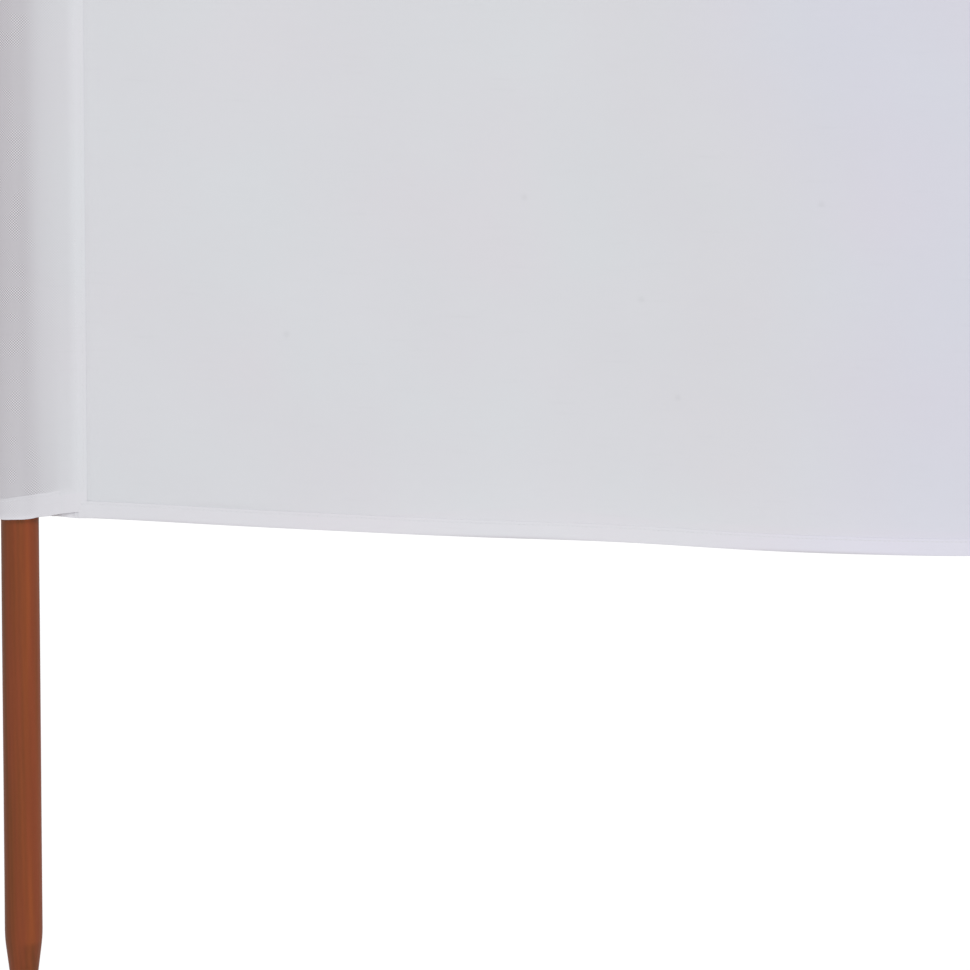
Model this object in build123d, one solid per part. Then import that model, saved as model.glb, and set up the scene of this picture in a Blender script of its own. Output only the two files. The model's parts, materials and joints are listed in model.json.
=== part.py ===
from build123d import *
import os

# A beach windbreak: plain cloth carried on a row of round wooden poles.
# The cloth is sewn into a pocket round each pole, and hemmed along its long edges.
# The row runs along X, the front with the folded hems faces -Y, and Z is up.
# The origin is the blunt tip of the middle pole.

# Driving dimensions, in millimetres

bay_count = 4
bay_pitch = 1450.0  # from one pole's axis to the next

pole_diameter = 28.0
pole_length = 1200.0
point_length = 78.0  # the tapered lower end that goes into the sand
tip_diameter = 8.0  # the flat left at the end of the point
point_rounding = 100.0  # radius that eases the shaft into the point
top_rounding = 4.0  # radius on the rim of the pole's top

cloth_thickness = 0.8
cloth_height = 800.0  # of the pockets, from lower to upper edge
pole_above_cloth = 6.0  # what shows of the pole above its pocket

pocket_clearance = 0.3  # air between a pole and the cloth round it
seam_distance = 41.0  # from a pole's axis to the near side of its seam
seam_width = 9.5  # the strip where the layers lie flat together
pocket_hem_height = 16.0
panel_hem_height = 13.0

sag_depth = 33.0  # how far the edges would drop at mid-bay as straight lines
sag_rounding = 4500.0  # radius where the two straight slopes meet

# Sizes that follow

pole_count = bay_count + 1
middle_pole = 1 + bay_count // 2
pole_radius = pole_diameter / 2
sleeve_radius = pole_radius + pocket_clearance
seam_reach = seam_distance + seam_width  # from a pole's axis to the end of its pocket
cloth_top = pole_length - pole_above_cloth
cloth_bottom = cloth_top - cloth_height


def turned_pole():
    """One pole on the Z axis: flat tip, tapered point, round shaft and eased top rim."""
    section = Plane.XZ * make_face(
        Polyline(
            (0, 0),
            (tip_diameter / 2, 0),
            (pole_radius, point_length),
            (pole_radius, pole_length),
            (0, pole_length),
            close=True,
        )
    )
    pole = revolve(section, Axis.Z)
    rims = pole.edges().filter_by(GeomType.CIRCLE).sort_by(Axis.Z)
    pole = fillet(rims[-1], top_rounding)
    shoulders = pole.edges().filter_by(GeomType.CIRCLE).sort_by(Axis.Z)
    return fillet(shoulders[1], point_rounding)


def pocket_outline(grown_by, seam_sides):
    """A pocket seen from above: round the pole, drawn out straight to each seam.

    grown_by is how far the outline lies outside the inner face of the cloth.
    A seam side is 1 or -1, for a seam towards +X or -X.
    """
    half_gap = cloth_thickness / 2 + grown_by
    sleeve = Circle(sleeve_radius + grown_by)
    outline = sleeve
    for side in seam_sides:
        seam_start = side * seam_distance
        start_line = Line((seam_start, -half_gap), (seam_start, half_gap))
        outline += make_hull(sleeve.edges() + start_line.edges())
        seam_middle = side * (seam_distance + seam_width / 2)
        outline += Pos(seam_middle, 0) * Rectangle(seam_width, 2 * half_gap)
    return outline


def pocket_wall(layers, seam_sides):
    """The cut through a pocket's cloth where it is this many layers thick."""
    outer = pocket_outline(layers * cloth_thickness, seam_sides)
    return outer - pocket_outline(0, seam_sides)


def pocket(seam_sides):
    """A pocket round a pole on the Z axis, with the cloth doubled at both hems."""
    single = pocket_wall(1, seam_sides)
    double = pocket_wall(2, seam_sides)
    hem = extrude(double, pocket_hem_height)
    between = extrude(single, cloth_height - 2 * pocket_hem_height)
    lower_hem = Pos(0, 0, cloth_bottom) * hem
    middle = Pos(0, 0, cloth_bottom + pocket_hem_height) * between
    upper_hem = Pos(0, 0, cloth_top - pocket_hem_height) * hem
    return lower_hem + middle + upper_hem


def bay_outline():
    """One bay's cloth seen from the front, measured from its left pole's axis.

    Each end runs level inside its seam, and between the seams both long edges sag.
    """
    middle = bay_pitch / 2
    left, right = seam_distance, bay_pitch - seam_distance
    left_seam, right_seam = seam_reach, bay_pitch - seam_reach
    outline = make_face(
        Polyline(
            (left, cloth_bottom),
            (left_seam, cloth_bottom),
            (middle, cloth_bottom - sag_depth),
            (right_seam, cloth_bottom),
            (right, cloth_bottom),
            (right, cloth_top),
            (right_seam, cloth_top),
            (middle, cloth_top - sag_depth),
            (left_seam, cloth_top),
            (left, cloth_top),
            close=True,
        )
    )
    corners = sorted(outline.vertices(), key=lambda corner: abs(corner.X - middle))
    return fillet(corners[:2], sag_rounding)


def panel():
    """The cloth of one bay, one layer thick, centred on the plane of the poles."""
    return extrude(Plane.XZ * bay_outline(), cloth_thickness / 2, both=True)


def panel_hem(direction):
    """The strip folded onto the front of a panel along one long edge.

    direction is 1 for the lower edge and -1 for the upper edge.
    """
    outline = bay_outline()
    edge_strip = outline - Pos(0, direction * panel_hem_height) * outline
    between_seams = Pos(bay_pitch / 2, pole_length / 2) * Rectangle(
        bay_pitch - 2 * seam_reach, pole_length
    )
    front_of_panel = Plane.XZ.offset(cloth_thickness / 2)
    return extrude(front_of_panel * (edge_strip & between_seams), cloth_thickness)


def save(name, piece):
    """Write one piece to a file of its own name."""
    export_step(piece, f"parts/{name}.step")


os.makedirs("parts", exist_ok=True)

for number in range(1, pole_count + 1):
    place = Pos((number - middle_pole) * bay_pitch, 0, 0)
    save(f"pole_{number}", place * turned_pole())
    if number == 1:
        save(f"pocket_{number}", place * pocket([1]))
    elif number == pole_count:
        save(f"pocket_{number}", place * pocket([-1]))
    else:
        front, back = pocket([-1, 1]).solids().sort_by(Axis.Y)
        save(f"pocket_front_{number}", place * front)
        save(f"pocket_back_{number}", place * back)

for number in range(1, bay_count + 1):
    place = Pos((number - middle_pole) * bay_pitch, 0, 0)
    save(f"panel_{number}", place * panel())
    save(f"bottom_hem_{number}", place * panel_hem(1))
    save(f"top_hem_{number}", place * panel_hem(-1))
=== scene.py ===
# %% [markdown]
# A beach windbreak stands on five pointed wooden poles, and white cloth is sewn round them in
# four bays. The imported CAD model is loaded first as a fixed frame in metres. Every piece made
# below takes its place and size from that frame, so nothing has to be fitted by eye.

# %% Load the frame
import json
import math

import bpy
import numpy as np
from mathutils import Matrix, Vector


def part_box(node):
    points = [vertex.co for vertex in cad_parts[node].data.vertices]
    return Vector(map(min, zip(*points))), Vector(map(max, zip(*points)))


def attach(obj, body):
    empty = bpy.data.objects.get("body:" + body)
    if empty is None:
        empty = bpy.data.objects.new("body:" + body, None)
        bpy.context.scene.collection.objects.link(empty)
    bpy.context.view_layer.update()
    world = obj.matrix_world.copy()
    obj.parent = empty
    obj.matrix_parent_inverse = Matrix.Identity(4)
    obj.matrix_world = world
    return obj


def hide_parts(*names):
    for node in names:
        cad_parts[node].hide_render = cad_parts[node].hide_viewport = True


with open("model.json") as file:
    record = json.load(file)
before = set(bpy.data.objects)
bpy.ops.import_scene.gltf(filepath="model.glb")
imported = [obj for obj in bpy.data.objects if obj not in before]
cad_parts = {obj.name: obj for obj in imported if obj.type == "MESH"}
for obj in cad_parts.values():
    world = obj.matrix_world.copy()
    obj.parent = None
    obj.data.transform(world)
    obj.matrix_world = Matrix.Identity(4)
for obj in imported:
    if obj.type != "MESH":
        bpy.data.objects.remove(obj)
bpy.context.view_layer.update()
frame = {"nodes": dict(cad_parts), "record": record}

# %% [markdown]
# The row runs along X, its front faces -Y and Z is up. The mounts in the record give each
# pole's axis exactly. The boxes of the nodes give the rest: how far a pocket's seam lies from
# the axis, where the cloth starts and ends, how deep its long edges sag and how high a hem is.

# %% Measures of the windbreak
MM = 0.001
tips = {mount["name"]: mount["pos_m"] for mount in frame["record"]["mounts"]}
pole_count = len(tips)
bay_count = pole_count - 1
pole_x = {number: tips[f"pole_{number}_tip"][0] for number in range(1, pole_count + 1)}
bay_pitch = pole_x[2] - pole_x[1]
pole_low, pole_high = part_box("pole_1")
pole_radius = max(pole_high.x - pole_x[1], pole_x[1] - pole_low.x)
pocket_low, pocket_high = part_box("pocket_1")
panel_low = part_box("panel_1")[0]
hem_low, hem_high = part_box("bottom_hem_1")
cloth_low, cloth_high = pocket_low.z, pocket_high.z
tall = cloth_high - cloth_low
seam_start = panel_low.x - pole_x[1]
seam_end = pocket_high.x - pole_x[1]
seam_width = seam_end - seam_start
edge_depth = cloth_low - panel_low.z
hem_height = hem_high.z - hem_low.z - edge_depth
print("poles", pole_count, "radius", round(pole_radius, 4), "pitch", round(bay_pitch, 3))
print("seam from", round(seam_start, 4), "to", round(seam_end, 4), "hem", round(hem_height, 4))
print("cloth from", round(cloth_low, 4), "to", round(cloth_high, 4), "sag", round(edge_depth, 4))

# %% [markdown]
# The camera comes first, because it decides how fine each pattern has to be. It stands 1.7 m in
# front of the cloth, a little above its lower edge, and looks down by less than three degrees.
# With an 85 mm lens one millimetre of the first pole is then about 1.33 pixels of a picture
# that is 970 pixels wide.

# %% Camera
PICTURE_WIDTH = 970
SENSOR = 36.0
LENS = 85.0
FARTHEST_SEEN = 400
camera_tilt = math.radians(2.69)
camera_place = (pole_x[1] + 0.3483, -1.712, cloth_low + 0.1057)

camera_data = bpy.data.cameras.new("camera")
camera_data.sensor_width = SENSOR
camera_data.lens = LENS
camera_data.clip_end = FARTHEST_SEEN
camera = bpy.data.objects.new("camera", camera_data)
camera.location = camera_place
camera.rotation_euler = (math.pi / 2 - camera_tilt, 0, 0)
bpy.context.scene.collection.objects.link(camera)
bpy.context.scene.camera = camera


def pixel_of(point):
    """Where a point falls in the square picture.

    The point's distances to the right of and above the line of sight are divided by its
    distance along that line, and scaled by the focal length in pixels.
    """
    focal = PICTURE_WIDTH * LENS / SENSOR
    middle = PICTURE_WIDTH / 2
    right, ahead, above = np.subtract(point, camera_place)
    cosine, sine = math.cos(camera_tilt), math.sin(camera_tilt)
    depth = ahead * cosine - above * sine
    height = ahead * sine + above * cosine
    return round(middle + focal * right / depth, 1), round(middle - focal * height / depth, 1)


print("pole at the cloth's lower edge", pixel_of((pole_x[1], 0, cloth_low)))
print("seam's outer edge", pixel_of((pole_x[1] + seam_end, 0, cloth_low)))

# %% [markdown]
# Colours are written as the hex codes of paint charts and image editors. Blender's shaders work
# with linear light, so one function undoes the sRGB curve.
#
# A material is a small network of nodes. One more function adds any node to it: a setting is a
# property of the node, and an input is either a value or the output of another node. Inputs go
# by name or by number. In a Map Range node, numbers 1 and 2 are the range that it reads and 3 and
# 4 the one that it gives, and in a Mix node of colours 6 and 7 are the two colours.

# %% Colour and node helpers
def colour(code):
    """An sRGB hex code as linear red, green, blue and alpha.

    Low values are divided by 12.92, and the rest follow a power of 2.4 with an offset.
    """
    encoded = np.array([int(code[place:place + 2], 16) for place in (1, 3, 5)]) / 255
    low, high = encoded / 12.92, ((encoded + 0.055) / 1.055) ** 2.4
    return (*np.where(encoded <= 0.04045, low, high).tolist(), 1.0)


def node(tree, kind, inputs=None, **settings):
    """Add one node, set its properties, and fill or link its inputs by name or by number."""
    made = tree.nodes.new(kind)
    for name, value in settings.items():
        setattr(made, name, value)
    for name, value in (inputs or {}).items():
        if isinstance(value, bpy.types.NodeSocket):
            tree.links.new(value, made.inputs[name])
        else:
            made.inputs[name].default_value = value
    return made


def new_material(name):
    """An empty material with its shader, ready for nodes, as material, tree and shader."""
    material = bpy.data.materials.new(name)
    material.use_nodes = True
    shader = material.node_tree.nodes["Principled BSDF"]
    return material, material.node_tree, shader


# %% [markdown]
# The light is that of a plain white studio. The world shines evenly from all sides, and what the
# camera, a reflection or a see-through surface sees of it is pure white. One low, wide lamp
# stands in front, so that round poles darken towards their sides. A second one high at the back
# lays the windbreak's soft shadow on the floor in front of it.

# %% World and lamps
WORLD_LIGHT = 0.765


def seen_directly(tree):
    """1 for rays of the camera, of reflections and of see-through surfaces, and 0 for others."""
    rays = node(tree, "ShaderNodeLightPath").outputs
    seen = rays["Is Camera Ray"]
    for way in ("Is Glossy Ray", "Is Transmission Ray"):
        seen = node(tree, "ShaderNodeMath", {0: seen, 1: rays[way]}, operation="MAXIMUM").outputs[0]
    return seen


world = bpy.data.worlds.new("studio")
bpy.context.scene.world = world
world.use_nodes = True
sky = world.node_tree
sky.nodes.clear()
lighting = node(sky, "ShaderNodeBackground", {"Color": (1, 1, 1, 1), "Strength": WORLD_LIGHT})
white = node(sky, "ShaderNodeBackground", {"Color": (1, 1, 1, 1), "Strength": 1.0})
either = node(sky, "ShaderNodeMixShader",
              {0: seen_directly(sky), 1: lighting.outputs[0], 2: white.outputs[0]})
node(sky, "ShaderNodeOutputWorld", {"Surface": either.outputs[0]})


def sun(name, strength, softness, turn, height):
    """A far lamp: softness, turn from the front towards the right, and height, in degrees."""
    data = bpy.data.lights.new(name, "SUN")
    data.energy = strength
    data.angle = math.radians(softness)
    lamp = bpy.data.objects.new(name, data)
    lamp.rotation_euler = (math.radians(90 - height), 0, math.radians(turn))
    bpy.context.scene.collection.objects.link(lamp)


sun("front_lamp", strength=0.53, softness=30, turn=6, height=20)
sun("high_lamp", strength=0.7, softness=25, turn=160, height=68)

# %% [markdown]
# The floor is one huge pale sheet, so that it reaches the horizon from any side. It takes the
# shadow as a matt surface does. For the camera and in reflections it also glows a little, which
# lifts it to the same white as the world behind it.

# %% Floor
FLOOR_HALF = 150
FLOOR_GLOW = 0.19
corners = [(-FLOOR_HALF, -FLOOR_HALF, 0), (FLOOR_HALF, -FLOOR_HALF, 0),
           (FLOOR_HALF, FLOOR_HALF, 0), (-FLOOR_HALF, FLOOR_HALF, 0)]
floor_mesh = bpy.data.meshes.new("floor")
floor_mesh.from_pydata(corners, [], [(0, 1, 2, 3)])
floor = bpy.data.objects.new("floor", floor_mesh)
bpy.context.scene.collection.objects.link(floor)

paper, tree, shader = new_material("matt white studio paper")
glow = node(tree, "ShaderNodeMath", {0: seen_directly(tree), 1: FLOOR_GLOW}, operation="MULTIPLY")
shader.inputs["Base Color"].default_value = colour("#EDEDED")
shader.inputs["Roughness"].default_value = 1.0
shader.inputs["Specular IOR Level"].default_value = 0.0
shader.inputs["Emission Color"].default_value = (1, 1, 1, 1)
tree.links.new(glow.outputs[0], shader.inputs["Emission Strength"])
floor_mesh.materials.append(paper)

# %% [markdown]
# Every piece of the windbreak goes through one function. It puts the points and faces into a
# mesh and shades it smooth except across sharp edges. It stores the map that lays the cloth out
# flat, in metres, and named values for each point that the materials read. Then the piece is
# tied to the frame's only body.

# %% Making a piece
EDGE_ANGLE = math.radians(50)
triangle_total = 0


def piece(name, points, faces, material, replaced=(), flat=None, values=None):
    """A mesh of these points and faces, with its map, values, material and place in the frame."""
    global triangle_total
    mesh = bpy.data.meshes.new(name)
    mesh.from_pydata(points.tolist(), [], faces)
    mesh.shade_smooth()
    mesh.set_sharp_from_angle(angle=EDGE_ANGLE)
    if flat is not None:
        corner = np.empty(len(mesh.loops), np.int32)
        mesh.loops.foreach_get("vertex_index", corner)
        mesh.uv_layers.new(name="flat").data.foreach_set("uv", flat[corner].astype(np.float32).ravel())
    for title, value in (values or {}).items():
        kind, field = ("FLOAT_VECTOR", "vector") if value.ndim == 2 else ("FLOAT", "value")
        stored = mesh.attributes.new(title, kind, "POINT")
        stored.data.foreach_set(field, value.astype(np.float32).ravel())
    mesh.materials.append(material)
    made = bpy.data.objects.new(name, mesh)
    bpy.context.scene.collection.objects.link(made)
    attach(made, "root")
    if replaced:
        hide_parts(*replaced)
    triangle_total += sum(len(face) - 2 for face in faces)
    return made


# %% [markdown]
# Three kinds of surface make the sewn cloth, each worked out as whole arrays of numbers.
# A sheet is a grid of points that gets two skins and a rim. A strip is an outline carried along
# a path. A stitch is a short pointed bar, and a row of them is made at once.

# %% Sheets
def unit(vectors):
    """Vectors of length 1 in the same directions."""
    return vectors / np.linalg.norm(vectors, axis=-1, keepdims=True)


def quads(grid):
    """The four-sided faces between neighbours of a grid of point numbers."""
    cells = [grid[:-1, :-1], grid[1:, :-1], grid[1:, 1:], grid[:-1, 1:]]
    return np.stack(cells, axis=-1).reshape(-1, 4)


def sheet(middle, thickness):
    """A closed thin shell: each point moves out and in by half the thickness along the normal.

    The normal is the slope along the grid's first direction crossed with that along its second.
    The two skins have opposite faces, and a rim of quads joins their borders.
    """
    normal = unit(np.cross(np.gradient(middle, axis=0), np.gradient(middle, axis=1)))
    step = normal * thickness / 2
    skins = np.stack([middle + step, middle - step])
    front, back = np.arange(skins[..., 0].size).reshape(skins.shape[:3])
    rims = [np.concatenate([skin[:-1, 0], skin[-1, :-1], skin[:0:-1, -1], skin[0, :0:-1]])
            for skin in (front, back)]
    ahead = [np.roll(rim, -1) for rim in rims]
    rim = np.stack([rims[0], rims[1], ahead[1], ahead[0]], axis=-1)
    faces = np.concatenate([quads(front), quads(back)[:, ::-1], rim])
    return skins.reshape(-1, 3), faces.tolist()


# %% [markdown]
# A hem is cloth turned over and sewn down. Seen from its end it is a flat loop, round at the fold
# below and at the sewn edge above, and the stitches press a shallow groove into it. That end view
# is the outline, and the strip carries it along the edge of the cloth.

# %% Strips
STITCH_FROM_FOLD = 2.2 * MM
GROOVE_DEPTH = 0.14 * MM
GROOVE_WIDTH = 1.2 * MM


def strip(path, outward, upward, outline):
    """A closed strip: an outline carried along a path, with a flat cap at each end.

    A point lies on the path, plus its outline's first number outwards and its second upwards.
    The outlines are a row of points for each station of the path.
    """
    points = (path[:, None] + outward[:, None] * outline[..., :1] + upward[:, None] * outline[..., 1:])
    number = np.arange(points[..., 0].size).reshape(points.shape[:2])
    closed = np.concatenate([number, number[:, :1]], axis=1)
    caps = [number[0].tolist(), number[-1, ::-1].tolist()]
    return points.reshape(-1, 3), quads(closed).tolist() + caps


def fold_outline(height, thickness, back):
    """A folded edge seen in section, as (outwards, upwards) points that run anticlockwise.

    Half a circle goes round the lower fold, the front rises with a dip along the stitches, half
    a circle goes round the upper fold, and a straight back closes it.
    """
    radius = thickness / 2
    middle = back + radius
    turn = np.linspace(-math.pi, 0, 7)
    lower = np.column_stack([middle + radius * np.cos(turn), radius + radius * np.sin(turn)])
    rise = np.linspace(2 * radius, height - radius, 8)[:-1]
    dip = GROOVE_DEPTH * np.exp(-((rise - height + STITCH_FROM_FOLD) / GROOVE_WIDTH) ** 2)
    front = np.column_stack([back + thickness - dip, rise])
    upper = np.column_stack([middle - radius * np.cos(turn), height - radius - radius * np.sin(turn)])
    return np.concatenate([lower, front, upper])


# %% [markdown]
# The real seams are lockstitch in white polyester thread, about three millimetres a stitch. One
# stitch shows as a small bar that dives into the cloth at both ends. With more than ten thousand
# of them each may have only sixteen triangles: two tips and two square rings between them.

# %% Stitches
STITCH_PITCH = 3.6 * MM
STITCH_LENGTH = 2.9 * MM
RING_INSET = 0.22
THREAD_WIDTH = 0.5 * MM
THREAD_SECTION = ((1, 0), (0, 0.6), (-1, 0), (0, -0.7))


def length_along(line):
    """The distance from a line's start to each of its points, along the line."""
    return np.concatenate([[0], np.cumsum(np.linalg.norm(np.diff(line, axis=0), axis=1))])


def stitch_row(line, outward):
    """A row of stitches along a line on the cloth, as points and faces.

    The line is measured from end to end. Each stitch takes its tips from the ends of its length
    and its two rings a fifth of the way in. A ring is four corners round the thread, and the tips
    lie in the cloth. Points 0 and 9 are the tips, 1 to 4 the first ring and 5 to 8 the second.
    """
    length = length_along(line)
    start = np.arange(STITCH_PITCH / 2, length[-1] - STITCH_PITCH, STITCH_PITCH)
    at = start[:, None] + STITCH_LENGTH * np.array([0, RING_INSET, 1 - RING_INSET, 1])
    place = np.stack([np.interp(at, length, line[:, axis]) for axis in range(3)], axis=-1)
    out = np.stack([np.interp(at, length, outward[:, axis]) for axis in range(3)], axis=-1)
    side = unit(np.cross(out, (place[:, 3] - place[:, 0])[:, None]))
    half = THREAD_WIDTH / 2
    tip = place[:, [0, 3]] - out[:, [0, 3]] * half
    rings = np.stack([place[:, 1:3] + half * (side[:, 1:3] * right + out[:, 1:3] * up)
                      for right, up in THREAD_SECTION], axis=1)
    points = np.concatenate([tip[:, :1], rings[:, :, 0], rings[:, :, 1], tip[:, 1:]], axis=1)
    turn = [(k, (k + 1) % 4) for k in range(4)]
    one = ([(0, 1 + b, 1 + a) for a, b in turn] + [(9, 5 + a, 5 + b) for a, b in turn]
           + [(1 + a, 1 + b, 5 + b, 5 + a) for a, b in turn])
    first = (np.arange(len(start)) * points.shape[1]).tolist()
    faces = [[k + corner for corner in face] for k in first for face in one]
    return points.reshape(-1, 3), faces


def join(parts):
    """Several sets of points and faces as one, with the later faces numbered on."""
    points, faces, count = [], [], 0
    for more, shapes in parts:
        points.append(more)
        faces += [[corner + count for corner in face] for face in shapes]
        count += len(more)
    return np.concatenate(points), faces


# %% [markdown]
# The poles are turned from softwood, such as pine, and dipped in a red-brown stain with a satin
# coat. The eye gets three things from that: straight grain that runs up the pole in streaks,
# fine fibres less than a millimetre wide, and a soft reflection at the edges. Growth rings about
# three millimetres apart, cut by a surface almost parallel to the trunk, give the streaks, and
# some bands of the wood take the stain redder than others. The pattern is read from each point's
# place inside the tree, stored with the mesh, so each pole is cut from another part of the trunk.
# Its sizes across the grain are real ones, and along the grain it is drawn out 25 times.

# %% Wood
RING_SPACING = 3.307 * MM
BAND_WIDTH = 6.667 * MM
STREAK_WIDTH = 3.846 * MM
FIBRE_WIDTH = 0.7692 * MM
DRAWN_OUT = 25


def wood():
    """Red-brown stained pine: rings and fibres from the place in the tree, satin coat.

    The tone is the stored stained tone, with its painted light and shade, plus shares of rings,
    streaks and fibres. It picks a colour between a dark and a light brown, which bands turn redder.
    """
    material, tree, shader = new_material("stained pine, turned")
    log = node(tree, "ShaderNodeAttribute", attribute_name="log").outputs["Vector"]
    drawn = node(tree, "ShaderNodeMapping", {"Vector": log, "Scale": (1, 1, 1 / DRAWN_OUT)}).outputs[0]
    rings = node(tree, "ShaderNodeTexWave",
                 {"Vector": log, "Scale": math.pi / (10 * RING_SPACING), "Distortion": 2.6, "Detail": 2.0,
                  "Detail Scale": 0.16},
                 wave_type="RINGS", rings_direction="Z")
    fibre = node(tree, "ShaderNodeTexNoise",
                 {"Vector": drawn, "Scale": 1 / FIBRE_WIDTH, "Detail": 4.0, "Roughness": 0.62})
    streak = node(tree, "ShaderNodeTexNoise",
                  {"Vector": drawn, "Scale": 1 / STREAK_WIDTH, "Detail": 3.0, "Roughness": 0.55})
    # The stored tone has the pole's painted light and shade in it.
    tone = node(tree, "ShaderNodeAttribute", attribute_name="stain").outputs["Fac"]
    for pattern, share in ((rings, 0.10), (streak, 0.30), (fibre, 0.20)):
        added = node(tree, "ShaderNodeMath", {0: pattern.outputs["Fac"], 1: share, 2: tone},
                     operation="MULTIPLY_ADD")
        tone = added.outputs[0]
    ramp = node(tree, "ShaderNodeValToRGB", {"Fac": tone})
    stops = ramp.color_ramp.elements
    stops[0].position, stops[0].color = 0.0, colour("#6B3D24")
    stops[1].position, stops[1].color = 1.0, colour("#9F532E")
    middle = stops.new(0.5)
    middle.color = colour("#88482A")
    band = node(tree, "ShaderNodeTexNoise", {"Vector": drawn, "Scale": 1 / BAND_WIDTH, "Detail": 1.0})
    band = node(tree, "ShaderNodeMapRange", {"Value": band.outputs["Fac"], 1: 0.4, 2: 0.62, 4: 0.3})
    redder = node(tree, "ShaderNodeMix", {"Factor": band.outputs[0], 6: ramp.outputs["Color"],
                                          7: colour("#8E4431")}, data_type="RGBA")
    tree.links.new(redder.outputs[2], shader.inputs["Base Color"])
    gloss = node(tree, "ShaderNodeMapRange", {"Value": fibre.outputs["Fac"], 3: 0.40, 4: 0.56})
    tree.links.new(gloss.outputs[0], shader.inputs["Roughness"])
    shader.inputs["IOR"].default_value = 1.5
    shader.inputs["Specular IOR Level"].default_value = 0.08
    relief = node(tree, "ShaderNodeBump", {"Height": fibre.outputs["Fac"], "Strength": 0.2,
                                           "Distance": 0.15 * MM})
    tree.links.new(relief.outputs[0], shader.inputs["Normal"])
    return material


pine = wood()

# %% [markdown]
# A pole is an outline turned round its axis: blunt tip, straight taper, shaft and eased top. The
# outline's radius at each height is read from the CAD pole, so both agree. The hand of the
# sander leaves the real surface a tenth of a millimetre uneven, which a few slow waves give.

# %% Shape of a pole
TURNS = 72
UNEVEN = 0.10 * MM
CLOSING_RINGS = np.array([0.25, 0.62, 0.9])
SAME_RADIUS = 0.01 * MM
shell = np.array([vertex.co for vertex in frame["nodes"]["pole_1"].data.vertices])
from_axis = np.hypot(shell[:, 0] - pole_x[1], shell[:, 1])
levels = np.unique(shell[:, 2].round(6))
radii = np.array([from_axis[abs(shell[:, 2] - level) < 2e-6].max() for level in levels])
full = radii > pole_radius - SAME_RADIUS
taper_end, cap_start = levels[full].min(), levels[full].max()
print("taper ends at", round(float(taper_end), 4), "tip radius", round(float(radii[0]), 4))

# Extra rings just under the cloth's lower edge carry the painted shadow of the cloth on the pole.
shadow_ring_heights = cloth_low + np.array([-6, -4, -3, -2, -1, 0, 1, 2, 4]) * MM
heights = np.concatenate([np.linspace(0, taper_end, 22), shadow_ring_heights, np.linspace(taper_end, cap_start, 36),
                          np.linspace(cap_start, levels[-1], 9)])
heights = np.unique(heights.round(7))
angles = np.linspace(-math.pi, math.pi, TURNS, endpoint=False)


def turned_shape(number, shift):
    """Points of a pole as a grid, round it and up it: the radius at each height on a circle.

    The mean of three sines is added to the radius. They run twice and three times round the pole
    and straight up it, each with its own shift. The tip and the top are closed by rings that
    shrink to a last small face.
    """
    radius = np.interp(heights, levels, radii)
    turn, level = np.meshgrid(angles, heights, indexing="ij")
    wave = (np.sin(2 * turn + 9 * level + shift[0]) + np.sin(3 * turn - 14 * level + shift[1])
            + np.sin(23 * level + shift[2])) / 3
    wave *= UNEVEN * np.minimum(1, (heights[-1] - level) / (20 * MM))
    reach = radius[None] + wave * (radius > radii[0])
    reach = np.concatenate([reach[:, :1] * CLOSING_RINGS, reach, reach[:, -1:] * CLOSING_RINGS[::-1]],
                           axis=1)
    level = np.pad(level, ((0, 0), (len(CLOSING_RINGS), len(CLOSING_RINGS))), mode="edge")
    turn = angles[:, None]
    return np.stack([pole_x[number] + reach * np.cos(turn), reach * np.sin(turn), level], axis=-1)


# %% [markdown]
# Each pole is cut from its own place in the trunk, leans a little in it and is turned by chance.
# The first one is turned as it stands in the picture. Light and shade are painted into its
# stained tone: one side is lighter, as if lit, it darkens round towards the other side with painted
# shade, and a painted highlight streak that comes and goes runs down the lit side. On the point the
# lit side is darkened again with painted shade. Just under the cloth a dark ring of painted shadow
# runs round the pole.

# %% Poles
# Painted light and shade in the poles' stained tone: a lit side with painted shade round from it, a painted
# highlight streak, painted shade on the point and a painted shadow under the cloth.
TREE_LEAN = np.array([0.012, -0.008])
FIRST_SPIN = 0.6
FIRST_PAINTED_LIT_SIDE = -0.85
FIRST_STREAK = 8.5
STREAK_ASIDE = 0.16
STREAK_HALF = 0.16
STREAK_LENGTH = 245.4 * MM
PLAIN_STAIN = 0.17
PAINTED_SHADE_ROUND = 0.56
PAINTED_HIGHLIGHT_LIFT = 0.12
POINT_PAINTED_SHADE = 0.32
PAINTED_SHADOW_UNDER_CLOTH = 0.45


def smooth(value, low, high):
    """0 below low, 1 above high, and an even S-shaped change between them."""
    share = np.clip((value - low) / (high - low), 0, 1)
    return share * share * (3 - 2 * share)


def bump(value, middle, half):
    """A bell curve: 1 at its middle, and 0.37 at this distance to both sides of it."""
    return np.exp(-((value - middle) / half) ** 2)


def place_in_tree(points, number, spin):
    """Where each point was in the trunk, measured from its heart at the trunk's foot.

    The pole leans and is turned about its axis. From pole to pole the place moves 10 mm further
    out, 12 mm aside and 0.7 m up the trunk.
    """
    log = points - (pole_x[number], 0, 0)
    log[:, :2] += log[:, 2:] * TREE_LEAN
    cosine, sine = math.cos(spin), math.sin(spin)
    log[:, :2] = log[:, :2] @ np.array([[cosine, sine], [-sine, cosine]])
    return log + (0.045 + 0.01 * number, 0.03 - 0.012 * number, 0.7 * number)


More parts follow.
